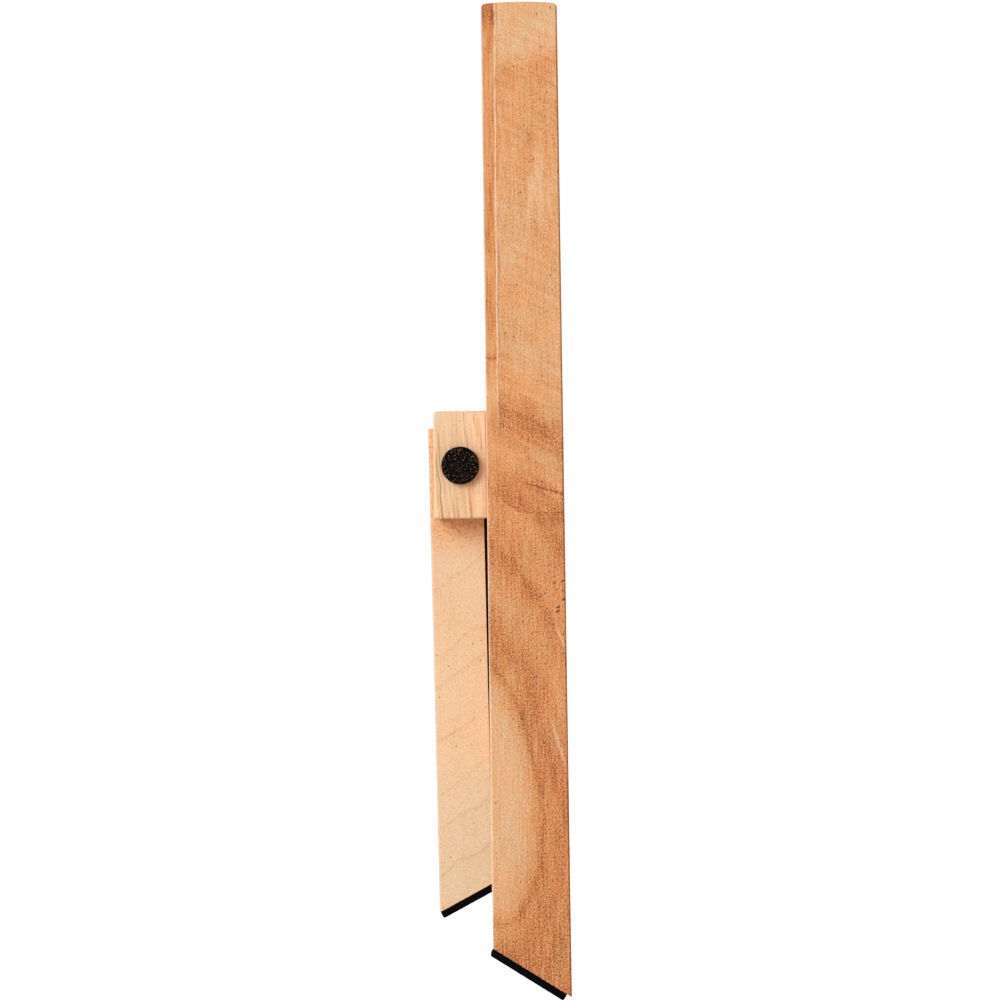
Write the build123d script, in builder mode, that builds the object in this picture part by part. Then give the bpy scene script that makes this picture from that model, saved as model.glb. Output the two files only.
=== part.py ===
from build123d import *
import os
from math import cos, radians, sin, sqrt, tan

# A wooden table easel, folded flat. Two splayed front legs make an A, joined by a
# hinge rail and a lower rail. One rear leg swings on a bolt between two hinge blocks
# behind the A. The canvas ledge folds up between the front legs on two pins.
#
# Millimetres. +Z runs up the front legs, +X points to the front (canvas side), and
# +Y to the right of somebody who faces the easel. z = 0 is the lowest pad edge and
# x = 0 is halfway between the rear leg's back and the front legs' front faces.

# ---------------------------------------------------------------- driving dimensions
HEIGHT = 406.4  # top of the legs, a 16 inch easel
LEG_DEPTH = 31.6  # front leg, back to front
LEG_WIDTH = 18.0  # front leg, across
SPLAY = 13.0  # degrees each front leg leans sideways
TOP_HALF_WIDTH = 10.0  # half width over both legs at their top
TOP_CROWN = 0.8  # rise of the slightly rounded leg top
TOP_ROUND = 2.2  # front and back corners of the leg top
WOOD_ROUND = 0.9  # sanded long edges

FRONT_LEAN = 32.0  # degrees the front legs lean back when the easel stands
OPEN_ANGLE = 60.0  # degrees the rear leg swings out
BACK_X = -3.612  # plane of the front legs' back faces
FRONT_X = BACK_X + LEG_DEPTH

PIVOT_X = BACK_X - 11.0
PIVOT_Z = 214.8

BLOCK_DEPTH = 22.0  # hinge block, from the plane of the legs to the back
BLOCK_HEIGHT = 44.0
BLOCK_WIDTH = 15.0
BLOCK_ROUND = 1.0

REAR_DEPTH = 23.64  # rear leg, back to front
REAR_WIDTH = 30.0
REAR_TILT = 0.52  # degrees the folded rear leg leans towards the front legs
REAR_GAP = 0.6  # rear leg to the plane of the front legs, at the pivot
REAR_TOP = 15.0  # rear leg above the pivot
REAR_BEVEL_DEPTH = 1.35  # bevels along the rear leg's two front edges
REAR_BEVEL_WIDTH = 5.0
HEEL_GAP = 0.35  # left between the heel and the hinge rail when open
HEEL_MIDDLE_ANGLE = 43.0  # degrees up from the front, a place on the heel's arc

RAIL_THICK = 12.0  # hinge rail, back to front
LOWER_RAIL_INSET = 1.2  # lower rail's back face in from the legs' back faces
LOWER_RAIL_DEPTH = 26.0
LOWER_RAIL_HEIGHT = 20.0
LOWER_RAIL_TOP = 109.0
LOWER_RAIL_X = BACK_X + LOWER_RAIL_INSET

LEDGE_X = BACK_X + 14.0  # ledge pins
LEDGE_THICK = 10.0
LEDGE_REACH = 55.0  # ledge from its pins to its outer edge
LEDGE_LIFT = 0.4  # ledge clear of the lower rail
LEDGE_SIDE_GAP = 2.2  # ledge ends clear of the legs
LEDGE_Z = LOWER_RAIL_TOP + LEDGE_LIFT + LEDGE_THICK / 2
LIP_SIZE = 8.0

PAD_THICK = 3.2
PAD_ROUND = 0.6
PAD_SIDE_INSET = 0.6
PAD_CORNER = 1.2
FRONT_PAD_TIP_INSET = 2.1  # front pad stops short of the leg's front tip
FRONT_PAD_LENGTH = 34.5
REAR_PAD_LENGTH = 24.4
REAR_PAD_TIP_INSET = 0.3
TIP_Z = 1.374  # front legs' tip above the lowest pad edge

FIT = 0.02  # radial gap of fixed pins, dowels and screws
RUNNING_FIT = 0.05  # radial gap where a part turns on its pin

DOWEL_RADIUS = 3.0
DOWEL_CHAMFER = 0.6
RAIL_DOWEL_IN_LEG = 10.0
RAIL_DOWEL_IN_RAIL = 14.0
LOWER_DOWEL_INSET = 7.8  # from the lower rail's back and front faces
APEX_DOWEL_LENGTH = 18.0
PIN_RADIUS = 2.0
PIN_IN_LEG = 10.0
PIN_IN_LEDGE = 12.0
PIN_CHAMFER = 0.4

BOLT_RADIUS = 3.0  # M6
BOLT_LENGTH = 60.0
BOLT_HEAD_FLATS = 10.0
BOLT_HEAD_HEIGHT = 4.0
BOLT_CHAMFER = 0.6
NUT_HEIGHT = 5.0
WASHER_RADIUS = 6.0
WASHER_THICK = 1.2
LEG_WASHER_RADIUS = 9.0
LEG_WASHER_THICK = 1.0
LEG_SIDE_GAP = 0.35  # rear leg to each leg washer

POCKET_RADIUS = 7.1  # counterbore for the bolt head and the nut
POCKET_DEPTH = 5.0
CAP_RADIUS = 7.8
CAP_HEIGHT = 4.0
CAP_TOP_THICK = 1.8
CAP_SKIRT_LENGTH = 1.8
CAP_INNER_RADIUS = 6.3
CAP_ROUND = 1.1
CAP_RIM_WIDTH = 1.76  # raised rim, with the slope inside it
CAP_RIM_SLOPE = 0.44
CAP_DISH = 0.35  # the cap's face lies this far below its rim

SCREW_RADIUS = 2.0
SCREW_HEAD_RADIUS = 4.0
SCREW_LENGTH = 30.0
SCREW_POINT = 1.2
SCREW_RECESS_WIDTH = 0.9
SCREW_RECESS_LENGTH = 4.4
SCREW_RECESS_DEPTH = 1.3

# ------------------------------------------------------------------ derived positions
BLOCK_INNER = REAR_WIDTH / 2 + LEG_SIDE_GAP + LEG_WASHER_THICK
BLOCK_OUTER = BLOCK_INNER + BLOCK_WIDTH
POCKET_FLOOR = BLOCK_OUTER - POCKET_DEPTH
APEX_DOWEL_HEIGHTS = (HEIGHT - 13.0, HEIGHT - 27.0)
HINGE_DOWEL_OFFSET = 6.0  # above and below the pivot
SCREW_OFFSET = 15.0  # above and below the pivot
SCREW_Y = BLOCK_INNER + BLOCK_WIDTH / 2
LOWER_RAIL_MIDDLE = LOWER_RAIL_TOP - LOWER_RAIL_HEIGHT / 2


def outer_y(z):
    """Distance from the middle to a front leg's outer face, at height z."""
    return TOP_HALF_WIDTH + (HEIGHT - z) * tan(radians(SPLAY))


def inner_y(z):
    """Distance from the middle to a front leg's inner face, at height z."""
    return outer_y(z) - LEG_WIDTH / cos(radians(SPLAY))


MITRE_Z = HEIGHT + (TOP_HALF_WIDTH - LEG_WIDTH / cos(radians(SPLAY))) / tan(radians(SPLAY))
RAIL_DOWEL_SPOTS = [
    (BACK_X + RAIL_THICK / 2, PIVOT_Z + HINGE_DOWEL_OFFSET),
    (BACK_X + RAIL_THICK / 2, PIVOT_Z - HINGE_DOWEL_OFFSET),
    (LOWER_RAIL_X + LOWER_DOWEL_INSET, LOWER_RAIL_MIDDLE),
    (LOWER_RAIL_X + LOWER_RAIL_DEPTH - LOWER_DOWEL_INSET, LOWER_RAIL_MIDDLE),
]


def across(x, y, z):
    """A place whose own Z runs across the easel, along +Y."""
    return Plane(origin=(x, y, z), x_dir=(1, 0, 0), z_dir=(0, 1, 0))


def rail_dowel_middle(side, z):
    """Y of the middle of a dowel between a rail and the leg on one side, -1 or +1."""
    return side * (inner_y(z) + (RAIL_DOWEL_IN_LEG - RAIL_DOWEL_IN_RAIL) / 2)


def rail_dowel_places(side):
    return [across(x, rail_dowel_middle(side, z), z) for x, z in RAIL_DOWEL_SPOTS]


def ledge_pin_place(side):
    middle = inner_y(LEDGE_Z) + (PIN_IN_LEG - PIN_IN_LEDGE - LEDGE_SIDE_GAP) / 2
    return across(LEDGE_X, side * middle, LEDGE_Z)


LEDGE_PIN_LENGTH = PIN_IN_LEG + PIN_IN_LEDGE + LEDGE_SIDE_GAP
RAIL_DOWEL_LENGTH = RAIL_DOWEL_IN_LEG + RAIL_DOWEL_IN_RAIL


def runs_up(edge):
    """True for an edge that runs more or less up and down."""
    return abs(edge.tangent_at(0.5).Z) > 0.9


# ------------------------------------------------------------------------ front legs
with BuildPart() as front_leg_left:
    with BuildSketch(Plane.YZ.offset(BACK_X)):
        with BuildLine():
            Polyline(
                (-outer_y(0), 0),
                (-outer_y(HEIGHT), HEIGHT),
                (0, HEIGHT),
                (0, MITRE_Z),
                (-inner_y(0), 0),
                close=True,
            )
        make_face()
    extrude(amount=LEG_DEPTH)
    long_edges = edges().filter_by(runs_up).filter_by(lambda edge: edge.center().Y < -1)
    fillet(long_edges, radius=WOOD_ROUND)

    # The side profile gives the slanted foot and the crowned top.
    with BuildSketch(Plane.XZ):
        with BuildLine():
            ThreePointArc(
                (BACK_X, HEIGHT - TOP_CROWN),
                (BACK_X + LEG_DEPTH / 2, HEIGHT),
                (FRONT_X, HEIGHT - TOP_CROWN),
            )
            Polyline(
                (FRONT_X, HEIGHT - TOP_CROWN),
                (FRONT_X, TIP_Z),
                (BACK_X, TIP_Z + LEG_DEPTH * tan(radians(FRONT_LEAN))),
                (BACK_X, HEIGHT - TOP_CROWN),
            )
        make_face()
        fillet(vertices().group_by(Axis.Y)[-1], radius=TOP_ROUND)
    extrude(amount=outer_y(0) + 1, both=True, mode=Mode.INTERSECT)

    with Locations(*rail_dowel_places(-1)):
        Cylinder(DOWEL_RADIUS + FIT, RAIL_DOWEL_LENGTH + 2 * FIT, mode=Mode.SUBTRACT)
    with Locations(ledge_pin_place(-1)):
        Cylinder(PIN_RADIUS + FIT, LEDGE_PIN_LENGTH + 2 * FIT, mode=Mode.SUBTRACT)
    with Locations(*[across(BACK_X + LEG_DEPTH / 2, 0, z) for z in APEX_DOWEL_HEIGHTS]):
        Cylinder(DOWEL_RADIUS + FIT, APEX_DOWEL_LENGTH + 2 * FIT, mode=Mode.SUBTRACT)

with BuildPart() as front_leg_right:
    mirror(front_leg_left.part, about=Plane.XZ)

with BuildPart() as apex_dowels:
    with Locations(*[across(BACK_X + LEG_DEPTH / 2, 0, z) for z in APEX_DOWEL_HEIGHTS]):
        Cylinder(DOWEL_RADIUS, APEX_DOWEL_LENGTH)


# ------------------------------------------------------------------------------ rails
def bar_corners(bottom, top, gap=0.0):
    """Seen from the front: a bar between the legs, its ends following their slope."""
    return [
        (-inner_y(bottom) + gap, bottom),
        (inner_y(bottom) - gap, bottom),
        (inner_y(top) - gap, top),
        (-inner_y(top) + gap, top),
    ]


def drill_rail_dowels():
    with Locations(*rail_dowel_places(-1), *rail_dowel_places(1)):
        Cylinder(DOWEL_RADIUS + FIT, RAIL_DOWEL_LENGTH + 2 * FIT, mode=Mode.SUBTRACT)


SCREW_SPOTS = [
    (side * SCREW_Y, PIVOT_Z + offset)
    for side in (-1, 1)
    for offset in (-SCREW_OFFSET, SCREW_OFFSET)
]
SCREW_PLACES = [
    Plane(origin=(BACK_X + RAIL_THICK, y, z), x_dir=(0, 1, 0), z_dir=(1, 0, 0))
    for y, z in SCREW_SPOTS
]

with BuildPart() as hinge_rail:
    with BuildSketch(Plane.YZ.offset(BACK_X)):
        with BuildLine():
            Polyline(
                *bar_corners(PIVOT_Z - BLOCK_HEIGHT / 2, PIVOT_Z + BLOCK_HEIGHT / 2),
                close=True,
            )
        make_face()
    extrude(amount=RAIL_THICK)
    fillet(edges().filter_by(Axis.Y), radius=WOOD_ROUND)
    drill_rail_dowels()
    with Locations(*SCREW_PLACES):
        CounterSinkHole(SCREW_RADIUS + FIT, SCREW_HEAD_RADIUS + FIT, counter_sink_angle=90)

with BuildPart() as lower_rail:
    with BuildSketch(Plane.YZ.offset(LOWER_RAIL_X)):
        with BuildLine():
            Polyline(
                *bar_corners(LOWER_RAIL_TOP - LOWER_RAIL_HEIGHT, LOWER_RAIL_TOP),
                close=True,
            )
        make_face()
    extrude(amount=LOWER_RAIL_DEPTH)
    fillet(edges().filter_by(Axis.Y), radius=WOOD_ROUND)
    drill_rail_dowels()

with BuildPart() as rail_dowels:
    with Locations(*rail_dowel_places(-1), *rail_dowel_places(1)):
        Cylinder(DOWEL_RADIUS, RAIL_DOWEL_LENGTH)
    chamfer(edges().filter_by(GeomType.CIRCLE), length=DOWEL_CHAMFER)

# ---------------------------------------------------------------------- hinge blocks
with BuildPart() as hinge_block_left:
    with BuildSketch(Plane.XZ.offset(BLOCK_INNER)):
        with Locations((BACK_X - BLOCK_DEPTH / 2, PIVOT_Z)):
            Rectangle(BLOCK_DEPTH, BLOCK_HEIGHT)
    extrude(amount=BLOCK_WIDTH)
    fillet(edges(), radius=BLOCK_ROUND)
    with Locations(Plane(origin=(PIVOT_X, -BLOCK_OUTER, PIVOT_Z), z_dir=(0, -1, 0))):
        CounterBoreHole(BOLT_RADIUS + FIT, POCKET_RADIUS, POCKET_DEPTH)
    with Locations(*[place for place in SCREW_PLACES if place.origin.Y < 0]):
        Hole(SCREW_RADIUS + FIT, depth=SCREW_LENGTH + FIT)

with BuildPart() as hinge_block_right:
    mirror(hinge_block_left.part, about=Plane.XZ)

with BuildPart() as block_screws:
    with Locations(*SCREW_PLACES):
        with Locations((0, 0, -SCREW_LENGTH / 2)):
            Cylinder(SCREW_RADIUS, SCREW_LENGTH)
        with Locations((0, 0, -(SCREW_HEAD_RADIUS - SCREW_RADIUS) / 2)):
            Cone(SCREW_RADIUS, SCREW_HEAD_RADIUS, SCREW_HEAD_RADIUS - SCREW_RADIUS)
        for turn in (0, 90):
            with Locations(Location((0, 0, -SCREW_RECESS_DEPTH / 2), (0, 0, turn))):
                Box(
                    SCREW_RECESS_LENGTH,
                    SCREW_RECESS_WIDTH,
                    SCREW_RECESS_DEPTH,
                    mode=Mode.SUBTRACT,
                )
    chamfer(edges().filter_by(GeomType.CIRCLE).group_by(Axis.X)[0], length=SCREW_POINT)

# -------------------------------------------------------------------------- rear leg
# The leg is drawn about the pivot, in a plane turned by its small folded tilt.
REAR_PLANE = Plane(
    origin=(PIVOT_X, 0, PIVOT_Z),
    x_dir=(cos(radians(REAR_TILT)), 0, sin(radians(REAR_TILT))),
    z_dir=(0, -1, 0),
)
REAR_FRONT = BACK_X - PIVOT_X - REAR_GAP  # pivot to the leg's front face
REAR_BACK = REAR_DEPTH - REAR_FRONT
HEEL_RADIUS = BACK_X - PIVOT_X - HEEL_GAP

# All three pads lie in one plane when the rear leg is open, so both foot cuts are at
# the same distance from the pivot.
PAD_TIP_X = FRONT_X - FRONT_PAD_TIP_INSET * cos(radians(FRONT_LEAN))
PAD_TIP_Z = TIP_Z + FRONT_PAD_TIP_INSET * sin(radians(FRONT_LEAN))
FRONT_CUT_DISTANCE = (PIVOT_Z - PAD_TIP_Z) * cos(radians(FRONT_LEAN)) - (
    PAD_TIP_X - PIVOT_X
) * sin(radians(FRONT_LEAN))
REAR_CUT_ANGLE = OPEN_ANGLE - FRONT_LEAN - REAR_TILT


def rear_cut_y(x):
    """Height of the rear foot cut in the leg's own plane, at x from the pivot."""
    angle = radians(REAR_CUT_ANGLE)
    return (x * sin(angle) - FRONT_CUT_DISTANCE) / cos(angle)


HEEL_ANGLE = OPEN_ANGLE - REAR_TILT
HEEL_START = (
    HEEL_RADIUS * cos(radians(HEEL_ANGLE)),
    HEEL_RADIUS * sin(radians(HEEL_ANGLE)),
)
HEEL_TOP_X = (HEEL_RADIUS - REAR_TOP * sin(radians(HEEL_ANGLE))) / cos(radians(HEEL_ANGLE))
HEEL_END = (REAR_FRONT, sqrt(HEEL_RADIUS**2 - REAR_FRONT**2))
HEEL_MIDDLE = (
    HEEL_RADIUS * cos(radians(HEEL_MIDDLE_ANGLE)),
    HEEL_RADIUS * sin(radians(HEEL_MIDDLE_ANGLE)),
)

with BuildPart() as rear_leg:
    with BuildSketch(REAR_PLANE):
        with BuildLine():
            Polyline(
                HEEL_START,
                (HEEL_TOP_X, REAR_TOP),
                (-REAR_BACK, REAR_TOP),
                (-REAR_BACK, rear_cut_y(-REAR_BACK)),
                (REAR_FRONT, rear_cut_y(REAR_FRONT)),
                HEEL_END,
            )
            ThreePointArc(HEEL_END, HEEL_MIDDLE, HEEL_START)
        make_face()
    extrude(amount=REAR_WIDTH / 2, both=True)
    long_edges = edges().filter_by(runs_up).filter_by(lambda edge: edge.length > LEG_DEPTH)
    back_edges, front_edges = long_edges.group_by(Axis.X)
    front_face = faces().filter_by(lambda face: face.area > LEG_DEPTH**2).sort_by(Axis.X)[-1]
    fillet(back_edges, radius=WOOD_ROUND)
    chamfer(front_edges, REAR_BEVEL_WIDTH, REAR_BEVEL_DEPTH, reference=front_face)
    with Locations(across(PIVOT_X, 0, PIVOT_Z)):
        Hole(BOLT_RADIUS + RUNNING_FIT)

# ------------------------------------------------------------------------- foot pads
FRONT_CUT = Plane(
    origin=(FRONT_X, 0, TIP_Z),
    x_dir=(-cos(radians(FRONT_LEAN)), 0, sin(radians(FRONT_LEAN))),
    z_dir=(-sin(radians(FRONT_LEAN)), 0, -cos(radians(FRONT_LEAN))),
)


def front_pad_corner(along, half_width_at, inset):
    """A pad corner on the foot cut: along is up the slope from the front tip."""
    height = TIP_Z + along * sin(radians(FRONT_LEAN))
    return (along, -half_width_at(height) + inset)


PAD_START = FRONT_PAD_TIP_INSET
PAD_END = FRONT_PAD_TIP_INSET + FRONT_PAD_LENGTH

with BuildPart() as front_foot_pad_left:
    with BuildSketch(FRONT_CUT):
        with BuildLine():
            Polyline(
                front_pad_corner(PAD_START, outer_y, PAD_SIDE_INSET),
                front_pad_corner(PAD_END, outer_y, PAD_SIDE_INSET),
                front_pad_corner(PAD_END, inner_y, -PAD_SIDE_INSET),
                front_pad_corner(PAD_START, inner_y, -PAD_SIDE_INSET),
                close=True,
            )
        make_face()
        fillet(vertices(), radius=PAD_CORNER)
    extrude(amount=PAD_THICK)
    tread = faces().sort_by(Axis(FRONT_CUT.origin, FRONT_CUT.z_dir))[-1]
    fillet(tread.edges(), radius=PAD_ROUND)

with BuildPart() as front_foot_pad_right:
    mirror(front_foot_pad_left.part, about=Plane.XZ)

REAR_PAD_MIDDLE_X = -REAR_BACK + (REAR_PAD_TIP_INSET + REAR_PAD_LENGTH / 2) * cos(
    radians(REAR_CUT_ANGLE)
)
REAR_CUT_DIRECTION = REAR_CUT_ANGLE + REAR_TILT
REAR_CUT = Plane(
    origin=REAR_PLANE.from_local_coords(
        Vector(REAR_PAD_MIDDLE_X, rear_cut_y(REAR_PAD_MIDDLE_X), 0)
    ),
    x_dir=(cos(radians(REAR_CUT_DIRECTION)), 0, sin(radians(REAR_CUT_DIRECTION))),
    z_dir=(sin(radians(REAR_CUT_DIRECTION)), 0, -cos(radians(REAR_CUT_DIRECTION))),
)

with BuildPart() as rear_foot_pad:
    with BuildSketch(REAR_CUT):
        RectangleRounded(REAR_PAD_LENGTH, REAR_WIDTH - 2 * PAD_SIDE_INSET, PAD_CORNER)
    extrude(amount=PAD_THICK)
    tread = faces().sort_by(Axis(REAR_CUT.origin, REAR_CUT.z_dir))[-1]
    fillet(tread.edges(), radius=PAD_ROUND)

# -------------------------------------------------------------------- pivot hardware
with BuildPart() as pivot_bolt:
    with BuildSketch(Plane.XZ.offset(POCKET_FLOOR + WASHER_THICK)):
        with Locations((PIVOT_X, PIVOT_Z)):
            RegularPolygon(BOLT_HEAD_FLATS / 2, 6, major_radius=False)
    extrude(amount=BOLT_HEAD_HEIGHT)
    with BuildSketch(Plane.XZ.offset(POCKET_FLOOR + WASHER_THICK)):
        with Locations((PIVOT_X, PIVOT_Z)):
            Circle(BOLT_RADIUS)
    extrude(amount=-BOLT_LENGTH)
    chamfer(faces().sort_by(Axis.Y)[-1].edges(), length=BOLT_CHAMFER)

with BuildPart() as pivot_nut:
    with BuildSketch(Plane.XZ.offset(-POCKET_FLOOR - WASHER_THICK)):
        with Locations((PIVOT_X, PIVOT_Z)):
            RegularPolygon(BOLT_HEAD_FLATS / 2, 6, major_radius=False)
            Circle(BOLT_RADIUS + FIT, mode=Mode.SUBTRACT)
    extrude(amount=-NUT_HEIGHT)


def washers(middle, thick, radius):
    """Two flat rings on the bolt, one on each side of the easel."""
    with Locations(across(PIVOT_X, -middle, PIVOT_Z), across(PIVOT_X, middle, PIVOT_Z)):
        Cylinder(radius, thick)
        Cylinder(BOLT_RADIUS + FIT, thick, mode=Mode.SUBTRACT)


with BuildPart() as pivot_washers:
    washers(POCKET_FLOOR + WASHER_THICK / 2, WASHER_THICK, WASHER_RADIUS)

with BuildPart() as leg_washers:
    washers(BLOCK_INNER - LEG_WASHER_THICK / 2, LEG_WASHER_THICK, LEG_WASHER_RADIUS)

# Half section of the cap: radius across, height above the block's face upwards.
CAP_PLANE = Plane(origin=(PIVOT_X, -BLOCK_OUTER, PIVOT_Z), x_dir=(1, 0, 0), z_dir=(0, 0, 1))

with BuildPart() as pivot_cap_left:
    with BuildSketch(CAP_PLANE):
        with BuildLine():
            Polyline(
                (0, -CAP_HEIGHT + CAP_DISH),
                (CAP_RADIUS - CAP_RIM_WIDTH - CAP_RIM_SLOPE, -CAP_HEIGHT + CAP_DISH),
                (CAP_RADIUS - CAP_RIM_WIDTH, -CAP_HEIGHT),
                (CAP_RADIUS, -CAP_HEIGHT),
                (CAP_RADIUS, 0),
                (POCKET_RADIUS - FIT, 0),
                (POCKET_RADIUS - FIT, CAP_SKIRT_LENGTH),
                (CAP_INNER_RADIUS, CAP_SKIRT_LENGTH),
                (CAP_INNER_RADIUS, -CAP_HEIGHT + CAP_TOP_THICK),
                (0, -CAP_HEIGHT + CAP_TOP_THICK),
                close=True,
            )
        make_face()
    revolve(axis=Axis((PIVOT_X, -BLOCK_OUTER, PIVOT_Z), (0, 1, 0)))
    rim = edges().filter_by(GeomType.CIRCLE).filter_by(
        lambda edge: abs(edge.radius - CAP_RADIUS) < 0.01
    )
    fillet(rim.sort_by(Axis.Y)[0], radius=CAP_ROUND)

with BuildPart() as pivot_cap_right:
    mirror(pivot_cap_left.part, about=Plane.XZ)

# ----------------------------------------------------------------------------- ledge
LEDGE_TOP = LEDGE_Z + LEDGE_REACH
LEDGE_BOTTOM = LEDGE_Z - LEDGE_THICK / 2

with BuildPart() as ledge_board:
    with BuildSketch(Plane.YZ.offset(LEDGE_X - LEDGE_THICK / 2)):
        with BuildLine():
            Polyline(*bar_corners(LEDGE_BOTTOM, LEDGE_TOP, LEDGE_SIDE_GAP), close=True)
        make_face()
    extrude(amount=LEDGE_THICK)
    # The pinned end is a half round, so that the board turns clear of the rail.
    with BuildSketch(Plane.XZ):
        with BuildLine():
            ThreePointArc(
                (LEDGE_X - LEDGE_THICK / 2, LEDGE_Z),
                (LEDGE_X, LEDGE_BOTTOM),
                (LEDGE_X + LEDGE_THICK / 2, LEDGE_Z),
            )
            Polyline(
                (LEDGE_X + LEDGE_THICK / 2, LEDGE_Z),
                (LEDGE_X + LEDGE_THICK / 2, LEDGE_TOP),
                (LEDGE_X - LEDGE_THICK / 2, LEDGE_TOP),
                (LEDGE_X - LEDGE_THICK / 2, LEDGE_Z),
            )
        make_face()
        fillet(vertices().group_by(Axis.Y)[-1].sort_by(Axis.X)[-1], radius=WOOD_ROUND)
    extrude(amount=outer_y(0), both=True, mode=Mode.INTERSECT)
    with Locations(ledge_pin_place(-1), ledge_pin_place(1)):
        Cylinder(PIN_RADIUS + RUNNING_FIT, LEDGE_PIN_LENGTH + 2 * FIT, mode=Mode.SUBTRACT)

with BuildPart() as ledge_lip:
    with BuildSketch(Plane.YZ.offset(LEDGE_X - LEDGE_THICK / 2 - LIP_SIZE)):
        with BuildLine():
            Polyline(
                *bar_corners(LEDGE_TOP - LIP_SIZE, LEDGE_TOP, LEDGE_SIDE_GAP),
                close=True,
            )
        make_face()
    extrude(amount=LIP_SIZE)
    back_edges = edges().filter_by(Axis.Y).group_by(Axis.X)[0]
    fillet(back_edges, radius=WOOD_ROUND)

with BuildPart() as ledge_pins:
    with Locations(ledge_pin_place(-1), ledge_pin_place(1)):
        Cylinder(PIN_RADIUS, LEDGE_PIN_LENGTH)
    chamfer(edges().filter_by(GeomType.CIRCLE), length=PIN_CHAMFER)

# ---------------------------------------------------------------------------- export
front_leg_left.part.label = "front_leg_left"
front_leg_right.part.label = "front_leg_right"
apex_dowels.part.label = "apex_dowels"
hinge_rail.part.label = "hinge_rail"
lower_rail.part.label = "lower_rail"
rail_dowels.part.label = "rail_dowels"
hinge_block_left.part.label = "hinge_block_left"
hinge_block_right.part.label = "hinge_block_right"
block_screws.part.label = "block_screws"
rear_leg.part.label = "rear_leg"
front_foot_pad_left.part.label = "front_foot_pad_left"
front_foot_pad_right.part.label = "front_foot_pad_right"
rear_foot_pad.part.label = "rear_foot_pad"
pivot_bolt.part.label = "pivot_bolt"
pivot_nut.part.label = "pivot_nut"
pivot_washers.part.label = "pivot_washers"
leg_washers.part.label = "leg_washers"
pivot_cap_left.part.label = "pivot_cap_left"
pivot_cap_right.part.label = "pivot_cap_right"
ledge_board.part.label = "ledge_board"
ledge_lip.part.label = "ledge_lip"
ledge_pins.part.label = "ledge_pins"

os.makedirs("parts", exist_ok=True)
export_step(front_leg_left.part, "parts/front_leg_left.step")
export_step(front_leg_right.part, "parts/front_leg_right.step")
export_step(apex_dowels.part, "parts/apex_dowels.step")
export_step(hinge_rail.part, "parts/hinge_rail.step")
export_step(lower_rail.part, "parts/lower_rail.step")
export_step(rail_dowels.part, "parts/rail_dowels.step")
export_step(hinge_block_left.part, "parts/hinge_block_left.step")
export_step(hinge_block_right.part, "parts/hinge_block_right.step")
export_step(block_screws.part, "parts/block_screws.step")
export_step(rear_leg.part, "parts/rear_leg.step")
export_step(front_foot_pad_left.part, "parts/front_foot_pad_left.step")
export_step(front_foot_pad_right.part, "parts/front_foot_pad_right.step")
export_step(rear_foot_pad.part, "parts/rear_foot_pad.step")
export_step(pivot_bolt.part, "parts/pivot_bolt.step")
export_step(pivot_nut.part, "parts/pivot_nut.step")
export_step(pivot_washers.part, "parts/pivot_washers.step")
export_step(leg_washers.part, "parts/leg_washers.step")
export_step(pivot_cap_left.part, "parts/pivot_cap_left.step")
export_step(pivot_cap_right.part, "parts/pivot_cap_right.step")
export_step(ledge_board.part, "parts/ledge_board.step")
export_step(ledge_lip.part, "parts/ledge_lip.step")
export_step(ledge_pins.part, "parts/ledge_pins.step")
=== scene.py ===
import math

import bpy
from mathutils import Matrix, Vector


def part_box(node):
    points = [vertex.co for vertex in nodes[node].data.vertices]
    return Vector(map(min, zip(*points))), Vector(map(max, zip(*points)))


# The looks of a folded wooden table easel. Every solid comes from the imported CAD
# model; this script gives each one its wood, rubber, steel or fibre, roughens the
# rubber, and adds the floor, the lights and the camera.

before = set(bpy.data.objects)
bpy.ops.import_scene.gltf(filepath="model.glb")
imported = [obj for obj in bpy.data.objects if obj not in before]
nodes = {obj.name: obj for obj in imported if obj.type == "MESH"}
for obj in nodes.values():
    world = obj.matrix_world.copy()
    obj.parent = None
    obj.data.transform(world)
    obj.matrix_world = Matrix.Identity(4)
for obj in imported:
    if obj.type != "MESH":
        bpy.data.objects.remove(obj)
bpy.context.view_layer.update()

MM = 0.001

# Sizes of the front legs, as in the CAD model, in millimetres.
HEIGHT = 406.4
SPLAY = 13.0  # degrees each front leg leans sideways
TOP_HALF_WIDTH = 10.0
LEG_DEPTH = 31.6
LEG_WIDTH = 18.0
BACK_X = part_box("front_leg_left")[0].x / MM

# Marks on a front leg, in millimetres down from its top.
KNOT_DOWN = 151.5
CRACK_DOWN = 198.8
JOINT_DOWN_AT_BACK = 209.0
JOINT_DOWN_AT_FRONT = 216.5
PITS_DOWN = 250.0
# Each scratch: how far down it starts, how far down it runs out over the front edge,
# and how far in from that edge it starts.
SCRATCHES = ((260.0, 277.0, 4.6), (296.0, 330.0, 7.1))

# The darker lamination along the back of a front leg.
STRIP_DEPTH = 5.6  # millimetres
STRIP_TAPER = 0.004  # depth lost for each millimetre down
STRIP_TONE = 0.64  # darkness, from 0 to 1
GLUE_HALF_WIDTH = 0.45  # millimetres

# The pith line of the flame figure: where it meets the leg's outer face, in
# millimetres from the top of its back edge, and its two angles in degrees.
FLAME_PITH = (-12, 0, -325)
FLAME_LEAN = 30.0
FLAME_TILT = 14.0

# Heights in millimetres on the rear leg. Its thin dark rings slope, so each is given
# by the height it would have at X = 0.
REAR_RINGS = (62, 80, 96, 118, 141, 153, 182, 206)
STAIN_AND_SHADE_FROM = 172.0
STAIN_AND_SHADE_FULL = 192.0  # just under the hinge blocks
SHADE_FROM = 100.0
SHADE_FULL = 125.0
# How many millimetres round a bevel to look for what shuts it in, for the painted shade there.
SHADE_REACH = 120.0

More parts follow.
